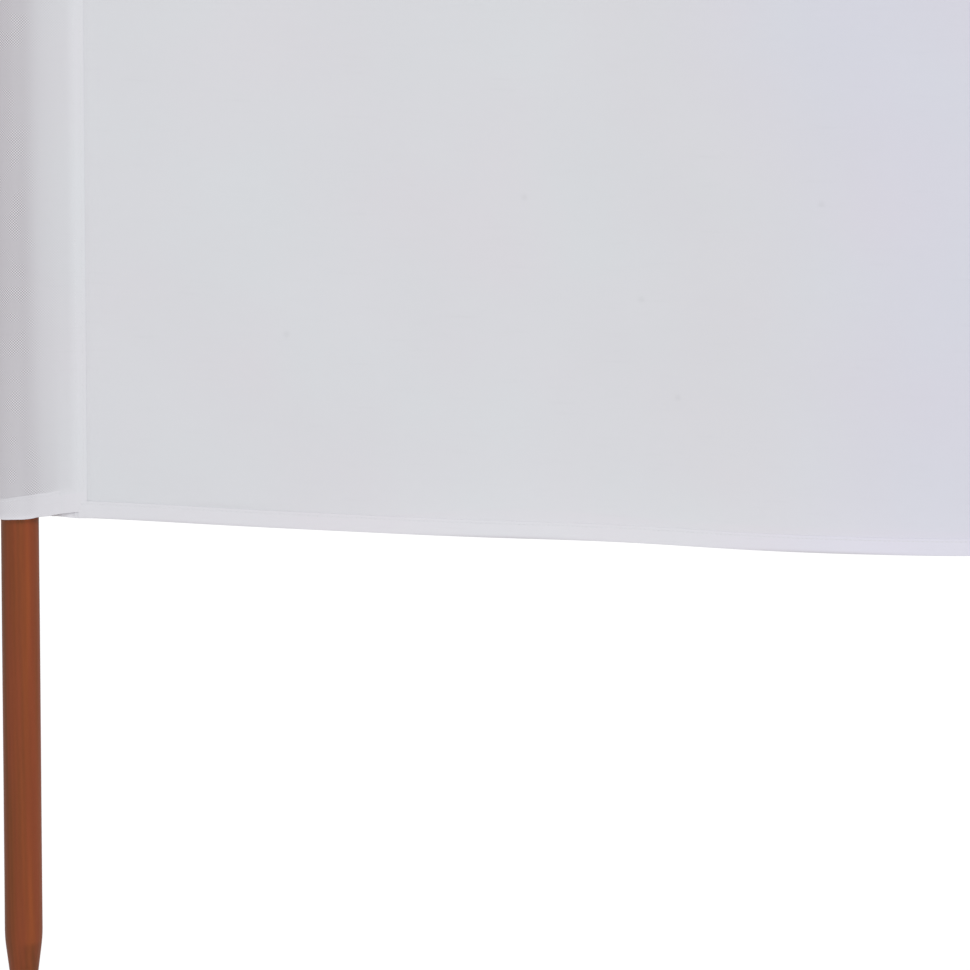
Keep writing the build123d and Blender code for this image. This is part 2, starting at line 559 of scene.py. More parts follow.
def stain_and_light_at(level, from_light, wander, streak_start):
    """How light the stained tone is, with light and shade painted in, at these heights and at these
    angles from the painted lit side.

    A cosine round the pole gives painted shade away from the lit side. On the point painted shade
    darkens the lit side again, and less so away from it. The streak, a painted highlight, is a bell
    curve across its angle, which wanders by two sines, times a cosine that makes it come and go
    along the pole. The painted shadow under the cloth is a bell curve of the height.
    """
    across = np.angle(np.exp(1j * (from_light + STREAK_ASIDE)))
    across = across + 0.05 * np.sin(13 * level + wander) + 0.03 * np.sin(37 * level)
    streak = PAINTED_HIGHLIGHT_LIFT * (1 + np.cos(2 * math.pi * level / STREAK_LENGTH - streak_start))
    stain = PLAIN_STAIN + PAINTED_SHADE_ROUND * (np.cos(from_light) - 0.95)
    stain = stain + streak * bump(across, 0, STREAK_HALF)
    on_point = 1 - smooth(level, taper_end - 13 * MM, taper_end - 7 * MM)
    # Painted shade on the point, strongest on the painted lit side.
    stain = stain - POINT_PAINTED_SHADE * on_point * smooth(np.cos(from_light), 0.55, 1.0)
    # A painted shadow just under the cloth's lower edge.
    return stain - PAINTED_SHADOW_UNDER_CLOTH * bump(level, cloth_low - 1.2 * MM, 1.6 * MM)


def pole(number):
    """One pole: its shape closed at both ends, its place in the tree, and its tone with painted light."""
    rng = np.random.default_rng(40 + number)
    shift = rng.uniform(0, 2 * math.pi, 4)
    spin, painted_lit_side, streak_start = FIRST_SPIN, FIRST_PAINTED_LIT_SIDE, FIRST_STREAK
    if number > 1:
        spin, painted_lit_side = rng.uniform(0, 2 * math.pi), rng.uniform(-math.pi, math.pi)
        streak_start = shift[0]
    grid = turned_shape(number, shift)
    count = np.arange(grid[..., 0].size).reshape(grid.shape[:2])
    ring = np.concatenate([count, count[:1]], axis=0)
    faces = quads(ring).tolist() + [count[::-1, 0].tolist(), count[:, -1].tolist()]
    points = grid.reshape(-1, 3)
    stain = stain_and_light_at(grid[..., 2], angles[:, None] - painted_lit_side, shift[3], streak_start)
    piece(f"wooden_pole_{number}", points, faces, pine, [f"pole_{number}"],
          values={"log": place_in_tree(points, number, spin), "stain": stain.ravel()})


for number in pole_x:
    pole(number)
print("five poles,", triangle_total, "triangles")

# %% [markdown]
# The cloth is plain-woven polyester, bleached white and a little see-through. It has no gloss and
# almost no texture from two metres away, so small differences in tone carry the picture. Light and
# shade are painted into those tones. Where cloth lies on the dark pole, the wood showing through is
# painted in, greyer and slightly pink, and the same grey paints shade and shadow in grooves, folds
# and bends. Where cloth is doubled in hems and seams, less light gets through and it is painted
# brighter, and the same value carries other painted light: slow changes, highlight lines and a glow.
# Both tones are values stored with each point, and a third one, the shade, paints a cool light.
#
# The real threads are 0.35 mm apart, too fine to show, so they are drawn 1 mm apart as a checker.
# It is almost invisible in a single layer, and shows in patches over the dark wood. Slubs are
# stretches of thread a little too thick. They are drawn 2 mm wide, several times their size, and
# 20 times as long, and a few knots of yarn show as grey specks two to six millimetres across.

# %% Woven polyester
THREAD_SPACING = 1.0 * MM
WEAVE_PATCH = 13.33 * MM
SLUB_WIDTH = 1.923 * MM
SLUB_STRETCH = 20
KNOT_SPACING = 232.6 * MM
KNOT_CORE, KNOT_RIM = 1.163 * MM, 3.256 * MM
CLOUD_SIZE = 111.1 * MM
HUE_SIZE = 153.8 * MM
# The doubled tone also carries painted light: slow changes, light lines, a fold highlight and a glow.
DOUBLED_AND_LIT_GAIN = 0.042


def woven_cloth(name, plain, painted_shade_grey, folded, cool):
    """Plain weave whose tone follows the stored values, with fine unevenness, slubs and specks.

    The colour drifts between the two plain ones. Its red, green and blue are multiplied by one
    set of factors in hems and by another one, a painted cool light, where the shade is, and where
    wood shows through or shade is painted it turns into the painted grey. All is multiplied by a
    level near 1: the checker at its weight, the doubled tone and painted light at their gain, and
    small shares of clouds, slubs and specks.
    """
    material, tree, shader = new_material(name)
    flat = node(tree, "ShaderNodeUVMap", uv_map="flat").outputs[0]
    backing, doubling, shade = [node(tree, "ShaderNodeAttribute", attribute_name=title).outputs["Fac"]
                                for title in ("backing", "doubling", "shade")]
    hue = node(tree, "ShaderNodeTexNoise", {"Vector": flat, "Scale": 1 / HUE_SIZE, "Detail": 2.0})
    hue = node(tree, "ShaderNodeMapRange", {"Value": hue.outputs["Fac"], 1: 0.32, 2: 0.68})
    in_hem = node(tree, "ShaderNodeMapRange", {"Value": doubling, 1: 0.78, 2: 0.88})
    tint = node(tree, "ShaderNodeMix", {"Factor": hue.outputs[0], 6: colour(plain[0]),
                                        7: colour(plain[1])}, data_type="RGBA")
    for share, factors in ((in_hem.outputs[0], folded), (shade, cool)):
        changed = node(tree, "ShaderNodeVectorMath", {0: tint.outputs[2], 1: factors},
                       operation="MULTIPLY")
        tint = node(tree, "ShaderNodeMix", {"Factor": share, 6: tint.outputs[2],
                                            7: changed.outputs[0]}, data_type="RGBA")
    tint = node(tree, "ShaderNodeMix", {"Factor": backing, 6: tint.outputs[2], 7: colour(painted_shade_grey)},
                data_type="RGBA")
    ends = []
    for way in ("X", "Y"):
        band = node(tree, "ShaderNodeTexWave", {"Vector": flat, "Scale": math.pi / (20 * THREAD_SPACING)},
                    wave_type="BANDS", bands_direction=way)
        ends.append(node(tree, "ShaderNodeMath", {0: band.outputs["Fac"], 1: 0.5}, operation="SUBTRACT"))
    check = node(tree, "ShaderNodeMath", {0: ends[0].outputs[0], 1: ends[1].outputs[0]},
                 operation="MULTIPLY")
    patch = node(tree, "ShaderNodeTexNoise", {"Vector": flat, "Scale": 1 / WEAVE_PATCH, "Detail": 1.0})
    patch = node(tree, "ShaderNodeMapRange", {"Value": patch.outputs["Fac"], 1: 0.46, 2: 0.60, 4: 2.4})
    solid = node(tree, "ShaderNodeMath", {0: backing, 1: 2.0}, operation="POWER")
    weight = node(tree, "ShaderNodeMath", {0: solid.outputs[0], 1: patch.outputs[0], 2: 0.05},
                  operation="MULTIPLY_ADD")
    weave = node(tree, "ShaderNodeMath", {0: check.outputs[0], 1: weight.outputs[0], 2: 1.0},
                 operation="MULTIPLY_ADD")
    cloud = node(tree, "ShaderNodeTexNoise", {"Vector": flat, "Scale": 1 / CLOUD_SIZE, "Detail": 3.0})
    uneven = node(tree, "ShaderNodeMapRange", {"Value": cloud.outputs["Fac"], 3: -0.016, 4: 0.016})
    pulled = node(tree, "ShaderNodeMapping", {"Vector": flat, "Scale": (1 / SLUB_STRETCH, 1, 1)})
    thick = node(tree, "ShaderNodeTexNoise",
                 {"Vector": pulled.outputs[0], "Scale": 1 / SLUB_WIDTH, "Detail": 1.0})
    slub = node(tree, "ShaderNodeMapRange",
                {"Value": thick.outputs["Fac"], 1: 0.60, 2: 0.80, 3: 0.0, 4: -0.02})
    knot = node(tree, "ShaderNodeTexVoronoi", {"Vector": flat, "Scale": 1 / KNOT_SPACING},
                voronoi_dimensions="2D")
    speck = node(tree, "ShaderNodeMapRange",
                 {"Value": knot.outputs["Distance"], 1: KNOT_CORE / KNOT_SPACING,
                  2: KNOT_RIM / KNOT_SPACING, 3: -0.045, 4: 0.0})
    level = node(tree, "ShaderNodeMath", {0: doubling, 1: DOUBLED_AND_LIT_GAIN, 2: weave.outputs[0]},
                 operation="MULTIPLY_ADD")
    for more in (uneven, slub, speck):
        level = node(tree, "ShaderNodeMath", {0: level.outputs[0], 1: more.outputs[0]})
    final = node(tree, "ShaderNodeVectorMath", {0: tint.outputs[2], 1: level.outputs[0]},
                 operation="MULTIPLY")
    tree.links.new(final.outputs[0], shader.inputs["Base Color"])
    relief = node(tree, "ShaderNodeBump", {"Height": check.outputs[0], "Strength": 0.3,
                                           "Distance": 0.05 * MM})
    tree.links.new(relief.outputs[0], shader.inputs["Normal"])
    shader.inputs["Roughness"].default_value = 0.85
    shader.inputs["Specular IOR Level"].default_value = 0.2
    shader.inputs["Sheen Weight"].default_value = 0.05
    shader.inputs["Sheen Roughness"].default_value = 0.5
    return material


# The grey #C3C0C5 paints the wood showing through and painted shade, and the cool factors paint a cool
# light.
polyester = woven_cloth("bleached polyester, plain weave", plain=("#DADCE0", "#DBDADF"),
                        painted_shade_grey="#C3C0C5", folded=(1.008, 0.994, 1.0), cool=(0.993, 0.985, 1.046))

# %% [markdown]
# The thread is the same white polyester, spun and twisted. On its own it is a shade brighter and
# has a little more gloss than the cloth. Its two plies are a fifth of a millimetre each, too fine
# to show, and are drawn as slanting bands of half a millimetre.

# %% Sewing thread
PLY_WIDTH = 0.4773 * MM


def sewing_thread():
    """White spun thread: slanting bands for the plies, satin gloss."""
    material, tree, shader = new_material("spun polyester thread")
    place = node(tree, "ShaderNodeTexCoord")
    twist = node(tree, "ShaderNodeTexWave",
                 {"Vector": place.outputs["Object"], "Scale": math.pi / (10 * math.sqrt(3) * PLY_WIDTH)},
                 wave_type="BANDS", bands_direction="DIAGONAL")
    tint = node(tree, "ShaderNodeMix", {"Factor": twist.outputs["Fac"], 6: colour("#D9D9DE"),
                                        7: colour("#E4E4E8")}, data_type="RGBA")
    tree.links.new(tint.outputs[2], shader.inputs["Base Color"])
    relief = node(tree, "ShaderNodeBump", {"Height": twist.outputs["Fac"], "Strength": 0.4,
                                           "Distance": 0.05 * MM})
    tree.links.new(relief.outputs[0], shader.inputs["Normal"])
    shader.inputs["Roughness"].default_value = 0.6
    return material


thread = sewing_thread()

# %% [markdown]
# A bay's cloth is taut between its two seams. Its long edges are a little longer than the gap, so
# they fall in two straight slopes that meet in a wide bend at mid-bay, with slow ripples on them.

# %% Long edges of a bay
LEVEL_SPAN = 221 * MM
EDGE_RIPPLE = 1.27 * MM
RIPPLE_LENGTH = 452 * MM
bay_left, bay_right = seam_start, bay_pitch - seam_start
half_span = bay_pitch / 2 - seam_end


def from_nearer_end(across):
    """The distance from the nearer end of a bay's cloth, where a seam starts."""
    return np.minimum(across - bay_left, bay_right - across)


def edge_fall(across, phase):
    """How far a long edge lies below its corners, at this distance from the left pole's axis.

    The distance from mid-bay is rounded off by a parabola within the level span. The fall grows
    evenly from the seam with what is left of the half bay, and two cosine ripples are added that
    fade out at both seams.
    """
    away = abs(across - bay_pitch / 2)
    soft = np.where(away < LEVEL_SPAN, (away ** 2 + LEVEL_SPAN ** 2) / (2 * LEVEL_SPAN), away)
    slope = edge_depth / (half_span - LEVEL_SPAN / 2)
    share = np.clip((across - seam_end) / (2 * half_span), 0, 1)
    turn = 2 * math.pi * (across + phase) / RIPPLE_LENGTH
    ripple = EDGE_RIPPLE * (np.cos(turn) + 0.18 * np.cos(turn / 0.43) - 0.2)
    return slope * np.clip(half_span - soft, 0, None) + ripple * np.sqrt(np.sin(math.pi * share))


# %% [markdown]
# Between its edges the cloth is nearly flat: two crossing sets of very long, low waves, a slight
# belly, fine folds that fan out from the corners, and puckers along the sewn edges. The stitches
# of a hem draw the cloth in just above it, most at a palm's width from a seam, and beside a seam
# it bulges a little.

# %% Surface of a bay
LOWER_RIPPLE = (0.2386, 0.05, 0.13, 0.31)
UPPER_RIPPLE = (0.09, 0.27, 0.19, 0.02)
CORNER_RISE = 0.4 * MM
LONG_WAVES = ((2.2 * MM, 0.46, 0.35, 1), (1.1 * MM, 0.31, -0.6, -2))
BELLY = 3.0 * MM
CALM_LENGTH = 220 * MM
CORNER_FOLDS = 11
FOLD_HEIGHT, FOLD_LENGTH = 0.45 * MM, 160 * MM
EDGE_PUCKER, EDGE_PUCKER_LENGTH = 0.16 * MM, 34 * MM
END_PUCKER, END_PUCKER_LENGTH = 0.14 * MM, 30 * MM
PUCKER_FADE = 20 * MM
DRAWN_IN_AT = 108 * MM
DRAWN_IN_DEPTH = 0.30 * MM
SEAM_BULGE = 0.25 * MM


def unevenness(along, seed, longest):
    """A wavy line between about -1 and 1: four sines whose lengths don't fit each other."""
    shift = np.random.default_rng(seed).uniform(0, 2 * math.pi, 4)
    lengths = longest * np.array([1, 0.618, 0.43, 0.27])
    weights = np.array([0.4, 0.3, 0.2, 0.1])
    return (weights * np.sin(2 * math.pi * along[..., None] / lengths + shift)).sum(-1)


def corner_fan(east, north, phase):
    """Folds that fan out from a corner: a sine of the angle there, which fades with the distance."""
    away = np.hypot(east, north) + 1e-9
    fan = np.sin(CORNER_FOLDS * np.arctan2(north, east + 1e-9) + phase)
    fan = fan * smooth(east, 0, 20 * MM) * smooth(away, 10 * MM, 50 * MM)
    return FOLD_HEIGHT * fan * np.exp(-away / FOLD_LENGTH)


def drawn_in(from_end):
    """How strongly the stitches draw the cloth in above a hem, at this distance from an end."""
    return bump(from_end, DRAWN_IN_AT, 30 * MM)


def bay_surface(bay, across, share):
    """Points of a bay's cloth at these distances from its left pole and shares of its height.

    Outwards, towards -Y, two crossing sine waves of 0.46 and 0.31 m and a low belly are added up
    and fade out at the seams. Folds at the corners, puckers along the sewn edges, the groove
    above each hem and the bulge beside each seam are added to them.
    """
    lower = cloth_low + CORNER_RISE - edge_fall(across, LOWER_RIPPLE[bay - 1])
    upper = cloth_high - CORNER_RISE - edge_fall(across, UPPER_RIPPLE[bay - 1])
    height = lower + share * (upper - lower)
    from_end = from_nearer_end(across)
    from_edge = np.minimum(share, 1 - share) * (upper - lower)
    turn = 1.7 * bay
    out = BELLY * np.sin(math.pi * (across - bay_left) / (bay_right - bay_left)) * np.sin(math.pi * share)
    for size, length, slant, turns in LONG_WAVES:
        out += size * np.sin(2 * math.pi * (across / length + slant * height) + turns * turn)
    out *= smooth(from_end, 0, CALM_LENGTH)
    for side, east in enumerate((across - bay_left, bay_right - across)):
        for foot, north in enumerate((height - lower, upper - height)):
            out += corner_fan(east, north, turn + side + 2 * foot)
    pucker = EDGE_PUCKER * unevenness(across, 10 * bay + 1, EDGE_PUCKER_LENGTH)
    out += pucker * np.exp(-from_edge / PUCKER_FADE)
    pucker = END_PUCKER * unevenness(height, 10 * bay + 2, END_PUCKER_LENGTH)
    out += pucker * np.exp(-from_end / PUCKER_FADE)
    out -= DRAWN_IN_DEPTH * drawn_in(from_end) * bump(from_edge, hem_height + 1.4 * MM, 1.8 * MM)
    out *= smooth(from_end, seam_width - 3 * MM, seam_width + 8 * MM)
    out += SEAM_BULGE * bump(from_end, seam_width + 3.5 * MM, 2.0 * MM)
    return np.stack([pole_x[bay] + across, -out, height], axis=-1)


# %% [markdown]
# Each bay is a grid of about 300 by 60 points, closer together near the seams and hems. The flat
# map is the distance across and up in metres, so the threads follow the cloth.
#
# The stored values paint what the light does. Between a seam's layers and behind a hem the cloth
# is doubled and painted brighter. Over the rest painted light and shade change the brightness
# slowly: it is less near the seams and at mid-bay, and more along both long edges, where a painted
# light line also runs just above the hem. Thin lines of painted shadow mark the groove above the
# hem and the edge of each seam. Towards mid-bay a painted cool light turns the cloth cooler.

# %% Panels
CLOTH = 0.4 * MM
# The cool tone is a painted cool light, strongest at mid-bay.
COOL_SHARES = (1, 0.45, 0.3, 0.5)
COOL_START = 475 * MM
COOL_CHANGE = 190 * MM
# HEM_LIGHT to SEAM_SHADE paint light and shade into the panel's tone.
HEM_LIGHT = 0.8
EDGE_BRIGHTER = 0.45
MIDDLE_DULLER = 0.2
SEAM_DULLER = 0.26
LIGHT_LINE = 0.35
GROOVE_SHADE = 0.11
SEAM_SHADE = 0.07


def mid_bay(bay, from_end, share):
    """How much painted cool light the cloth takes: 0 near the seams, and in the first bay 1 at mid-bay.

    At mid-height the cool part is wider. The other bays reach only a part of the cool tone.
    """
    start = COOL_START - 75 * MM * bump(share, 0.5, 0.12)
    return COOL_SHARES[bay - 1] * smooth(from_end, start, start + COOL_CHANGE)


def edge_light(from_end):
    """Painted light along the long edges. It starts a hand's breadth from the seams."""
    return HEM_LIGHT * smooth(from_end, 120 * MM, 280 * MM)


def stations(near_end):
    """Distances across a bay: these ones from both of its ends, and even steps between them."""
    even = np.linspace(bay_left, bay_right, 280)[6:-6]
    return np.concatenate([bay_left + near_end, even, bay_right - near_end[::-1]])


def panel_values(bay, across, share):
    """Painted shade, doubled tone with painted light, and painted cool light of a bay's cloth, as sums
    of bell curves and smooth steps.

    The painted shade is the shadow of the groove above a hem and of a seam's edge. The slow change
    of painted light and shade acts where the cloth is single. Within a hem's height, less a
    millimetre, the doubled tone takes over.
    """
    from_end = from_nearer_end(across)
    above_hem = np.minimum(share, 1 - share) * tall - hem_height
    # Painted shadow of the groove above the hem and of the seam's edge, then slow painted light and shade.
    groove = GROOVE_SHADE * drawn_in(from_end) * bump(above_hem, 1.6 * MM, 1.7 * MM)
    beside_seam = SEAM_SHADE + 0.05 * unevenness(share * tall, 10 * bay + 7, 90 * MM)
    beside_seam = beside_seam * smooth(above_hem, 0, 20 * MM)
    beside_seam = beside_seam * bump(from_end, seam_width + 1.2 * MM, 1.8 * MM)
    slow = EDGE_BRIGHTER * np.exp(-above_hem.clip(0) / (110 * MM)) * smooth(from_end, 150 * MM, 400 * MM)
    slow -= MIDDLE_DULLER * smooth(from_end, 300 * MM, 450 * MM)
    slow -= SEAM_DULLER * bump(from_end, 0, 120 * MM)
    slow += edge_light(from_end) * np.exp(-above_hem.clip(0) / (20 * MM))
    slow += LIGHT_LINE * smooth(from_end, 200 * MM, 300 * MM) * bump(above_hem, 0.3 * MM, 1.3 * MM)
    double_and_light = 1 - smooth(from_end, seam_width - 1 * MM, seam_width + 2 * MM)
    double_and_light = double_and_light + (1 - double_and_light) * slow
    double_and_light = np.where(above_hem < -1 * MM, 1 + edge_light(from_end), double_and_light)
    return {"backing": groove + beside_seam, "doubling": double_and_light, "shade": mid_bay(bay, from_end, share)}


def panel(bay):
    """One bay's cloth between its seams, as a closed sheet."""
    near_edge = np.concatenate([np.linspace(0, 0.8, 4), np.linspace(0.9, 1.5, 6), [1.7, 2.0]])
    near_edge *= hem_height / tall
    rows = np.concatenate([near_edge, np.linspace(near_edge[-1], 1 - near_edge[-1], 42)[1:-1],
                           1 - near_edge[::-1]])
    across, share = np.meshgrid(stations(np.linspace(0, 24 * MM, 17)), rows, indexing="ij")
    points, faces = sheet(bay_surface(bay, across, share), CLOTH)
    flat = np.stack([across, share * tall], axis=-1).reshape(-1, 2)
    values = panel_values(bay, across, share)
    return piece(f"cloth_panel_{bay}", points, faces, polyester, [f"panel_{bay}"],
                 flat=np.tile(flat, (2, 1)),
                 values={title: np.tile(value.ravel(), 2) for title, value in values.items()})


panels = {bay: panel(bay) for bay in range(1, bay_count + 1)}
print("four panels,", triangle_total, "triangles so far")

# %% [markdown]
# The long edges are folded to the front and sewn down, so a hem is a flat strip with a round fold
# below and a sewn edge above. It is an outline carried along the panel's own edge, which keeps it
# on the cloth wherever that goes. Its back stays inside the panel, so no gap shows between them.
# Between stitches the fold bulges a little, and at both ends the hem thins and rises onto the
# seam, whose front layer it covers.
#
# A hem is doubled cloth, so it is painted bright. The painted cool light reaches nearer to the
# seams on it than on the panel, and it is a little duller just beside them. Along its lower edge a
# thin line of painted shade under the fold comes and goes.

# %% Hems along the panels
HEM_THICKNESS = 0.95 * MM
HEM_BACK = -0.23 * MM
HEM_TUCK = 0.21 * MM
HEM_BULGE = 0.12 * MM
HEM_START = 3 * MM
SEAM_LAYER = 0.75 * MM
FOLD_SHADE = 0.45
HEM_COOLER = 45 * MM
HEM_DULLER = 0.05
# Where the painted shade line under the fold runs darker, and how often.
SHADE_LINE_LENGTH = 240 * MM
SHADE_LINE_PLACES = (123 * MM, 40 * MM, 200 * MM, 150 * MM)


def fold_shade(up):
    """Painted shade on a hem's section: grey on the turned-under fold, where no light gets through."""
    return FOLD_SHADE * (1 - smooth(up, 0.1 * MM, 0.5 * MM))


def fold_shade_line(bay, across, up):
    """Painted shade along the lowest millimetre of a hem: a thin grey line under the fold.

    A power of a cosine along the edge sets how dark the line is, and half as dark near the seams.
    """
    turn = 2 * math.pi * (across - SHADE_LINE_PLACES[bay - 1]) / SHADE_LINE_LENGTH
    line_strength = 0.4 + 0.45 * smooth(from_nearer_end(across), 200 * MM, 350 * MM)
    return line_strength * (0.5 + 0.5 * np.cos(turn)) ** 1.5 * (1 - smooth(up, 0.4 * MM, 1.5 * MM))


def hem_values(bay, across, up, share):
    """Painted shade, doubled tone with painted light, and painted cool light of a panel's hem, at
    distances across the bay and up the hem.
    """
    from_end = from_nearer_end(across)
    cool = mid_bay(bay, from_end + HEM_COOLER, share)
    dull = HEM_DULLER * smooth(from_end, 10 * MM, 30 * MM) * (1 - smooth(from_end, 60 * MM, 90 * MM))
    values = {"backing": np.maximum(fold_shade(up), fold_shade_line(bay, across, up)) + dull,
              "doubling": 1 + edge_light(from_end) + 0.25 * cool,
              "shade": cool}
    return {title: np.broadcast_to(value, up.shape).ravel() for title, value in values.items()}


def hem_frame(foot, inner, edge):
    """Directions up and out of the cloth along a hem, from its foot and a line one hem further in.

    Upwards leads from the foot to that line. Outwards is the foot's own direction crossed with
    upwards. Edge is 1 for a lower hem and -1 for an upper one, which turns outwards round.
    """
    upward = unit(inner - foot)
    return upward, unit(np.cross(np.gradient(foot, axis=0), upward)) * edge


def panel_hem(bay, edge):
    """The strip along one long edge: edge is 1 for the lower one and -1 for the upper one.

    Its outline is pressed flat towards its ends, bulges unevenly at the fold and is carried along
    the edge. One row of stitches lies on its front and one on the back of the panel.
    """
    across = stations(np.linspace(HEM_START, 24 * MM, 15))
    share = 0 if edge == 1 else 1
    foot = bay_surface(bay, across, share + 0 * across)
    inner = bay_surface(bay, across, share + edge * hem_height / tall + 0 * across)
    upward, outward = hem_frame(foot, inner, edge)
    from_end = from_nearer_end(across)
    clear_of_seam = smooth(from_end, seam_width - 1 * MM, seam_width + 6 * MM)[:, None]
    foot = foot + outward * SEAM_LAYER * (1 - clear_of_seam)
    front = HEM_BACK + HEM_THICKNESS * (0.4 + 0.6 * smooth(from_end - HEM_START, 0, 8 * MM)[:, None])
    back = HEM_BACK + HEM_TUCK * clear_of_seam
    outline = np.repeat(fold_outline(hem_height, HEM_THICKNESS, HEM_BACK)[None], len(across), axis=0)
    outline[..., 0] = back + (front - back) * (outline[..., 0] - HEM_BACK) / HEM_THICKNESS
    bulge = unevenness(across, 10 * bay + 3 + edge, 0.023)[:, None] * (1 - outline[..., 1] / hem_height)
    outline[..., 0] += HEM_BULGE * bulge * (outline[..., 0] > 0.3 * MM)
    order = slice(None) if edge == 1 else slice(None, None, -1)
    points, faces = strip(foot[order], outward[order], upward[order], outline[order])
    up = outline[order, :, 1]
    flat = np.stack([np.broadcast_to(across[order, None], up.shape), up], axis=-1)
    name, replaced = ("lower", "bottom_hem") if edge == 1 else ("upper", "top_hem")
    made = piece(f"{name}_hem_{bay}", points, faces, polyester, [f"{replaced}_{bay}"],
                 flat=flat.reshape(-1, 2), values=hem_values(bay, across[order, None], up, share))
    line = foot + upward * (hem_height - STITCH_FROM_FOLD)
    sewn = stitch_row((line + outward * front)[order], outward[order])
    through = stitch_row((line - outward * CLOTH / 2)[order], -outward[order])
    return made, [sewn, through]


for bay in panels:
    lower, rows = panel_hem(bay, 1)
    upper, more = panel_hem(bay, -1)
    points, faces = join(rows + more)
    stitches = piece(f"hem_stitches_{bay}", points, faces, thread)
print("eight hems with their stitches,", triangle_total, "triangles so far")

# %% [markdown]
# Each pocket is one width of cloth wrapped round a pole and sewn flat onto the panel. Seen from
# above it is an arc round the pole with a straight arm to each seam. The straight line from the
# seam that just touches the round of the pole gives the arm, and a soft bend turns it flat where
# the stitches begin. An end pole has one seam, so its pocket goes all the way round; between two
# bays a front strip and a back strip meet in two seams.

# %% Path round a pole
SLEEVE_RADIUS = pole_radius + 0.35 * MM
LAYER_STEP = 0.45 * MM
SEAM_BEND = 1.2 * MM
SEAM_PRESSED = 0.2 * MM
distance = math.hypot(seam_start, LAYER_STEP)
touch = math.acos(SLEEVE_RADIUS / distance) + math.atan(LAYER_STEP / seam_start)
touch_x = SLEEVE_RADIUS * math.cos(touch)
arm_slope = (SLEEVE_RADIUS * math.sin(touch) - LAYER_STEP) / (seam_start - touch_x)
print("a pocket leaves the pole", round(math.degrees(touch), 1), "degrees from the row")


def arm_depth(x):
    """How far an arm lies in front of the row: a straight slope with a soft bend into the seam.

    The bend is the logarithm of one plus the exponential of the slope over the bend's size. The
    last bit of the seam is pressed down onto the panel.
    """
    pressed = SEAM_PRESSED * smooth(x, seam_end - 1.5 * MM, seam_end)
    return LAYER_STEP - pressed + SEAM_BEND * np.log1p(np.exp((seam_start - x) * arm_slope / SEAM_BEND))


def pocket_path(wraps):
    """The pocket's middle line seen from above, as (x, y) from the pole's axis.

    It starts at the back seam and goes round the pole if it wraps, or starts at the left seam
    and crosses the front if it doesn't, and ends at the right seam in front.
    """
    x = np.concatenate([np.linspace(seam_end, seam_start, 6)[:-1], np.linspace(seam_start, touch_x, 20)])
    arm = np.column_stack([x, -arm_depth(x)])
    if wraps:
        first, turn = arm * (1, -1), np.linspace(touch, 2 * math.pi - touch, 48)
    else:
        first, turn = arm * (-1, 1), np.linspace(math.pi + touch, 2 * math.pi - touch, 10)
    arc = SLEEVE_RADIUS * np.column_stack([np.cos(turn), np.sin(turn)])
    return np.concatenate([first, arc[1:-1], arm[::-1]])


# %% [markdown]
# A pocket isn't quite a straight tube. Its lower edge climbs a few millimetres towards the seam,
# more on the front than on the back, and the upper edge does the reverse. So a sliver of the back
# layer's inside shows between the two. Near both ends the arms hang a little slack, so that the
# cloth follows the pole further round. The seam is puckered.

# %% Shape of a pocket
FRONT_CLIMB = np.array([(-8, -0.2), (-4, 0), (0, 0.1), (4.4, 0.12), (8.9, 0.4), (12, 0.85), (14.5, 1.5),
                        (16.4, 1.75), (21.5, 2.1), (24.6, 2.5), (27, 3.2), (31, 3.9), (36, 4.3),
                        (40, 4.8), (43, 5.1)]) * MM
BACK_CLIMB = np.array([(4, 0), (13, 0.8), (19, 1.7), (28, 1.7), (37, 0.8), (43, 0.4)]) * MM
EVEN_SLACK = 0.3 * MM
END_SLACK = 1.9 * MM
SLACK_LENGTH = 70 * MM
SEAM_PUCKER, SEAM_PUCKER_LENGTH = 0.25 * MM, 60 * MM


def pocket_surface(path, share, wraps, behind):
    """Points of a pocket, measured from its pole's axis, for a path and shares of the height.

    Reach is the distance towards the seam. The height runs between two edges that climb with
    reach, read from a table. The arm's slack is half a sine wave along it, which dies out
    exponentially from both ends of the pocket. An uneven line up the seam, times a bell curve
    of the reach, gives the puckers. What would lie inside the sleeve's circle is pushed out
    onto it.
    """
    east, out = path[:, :1], path[:, 1:]
    reach = east if wraps else abs(east)
    front = (out < 0) != behind
    side = np.sign(out)
    climb = np.where(front, np.interp(reach, *FRONT_CLIMB.T), np.interp(reach, *BACK_CLIMB.T))
    low, high = cloth_low + climb, cloth_high - climb
    height = low + share * (high - low)
    arm_share = np.clip((reach - touch_x) / (seam_start - touch_x), 0, 1)
    slack = EVEN_SLACK + END_SLACK * np.exp(-np.minimum(share, 1 - share) * tall / SLACK_LENGTH)
    out = out - side * slack * np.sin(math.pi * arm_share)
    pucker = SEAM_PUCKER * unevenness(height, 7 + 2 * behind, SEAM_PUCKER_LENGTH)
    out = out + side * pucker * bump(reach, seam_start - 4 * MM, 5 * MM)
    push = np.where(reach < seam_start, np.maximum(1, SLEEVE_RADIUS / np.hypot(east, out)), 1)
    return np.stack([east * push, out * push + 0 * height, height], axis=-1)


def set_round_pole(points, number, mirrored, behind):
    """Pocket points moved to their pole, mirrored for a seam on the left or turned to the back."""
    if behind:
        points = points * (-1, -1, 1)
    if mirrored:
        points = points[::-1] * (-1, 1, 1)
    return points + (pole_x[number], 0, 0)


# %% [markdown]
# On a pocket the stored values are what the eye follows. The wood behind showing through is
# painted in, most where the cloth touches it, and it fades as the arm leaves the pole. Through the
# two layers of a hem it shows less. On the front of a pocket that wraps its pole the painted
# show-through is lighter in a band just beside the pole's axis, and near its ends the start of the
# arm takes a soft painted shadow. Beside the pole the hem is pressed so flat that it lies in the
# pocket's own surface, and the pocket takes the doubled tone there.

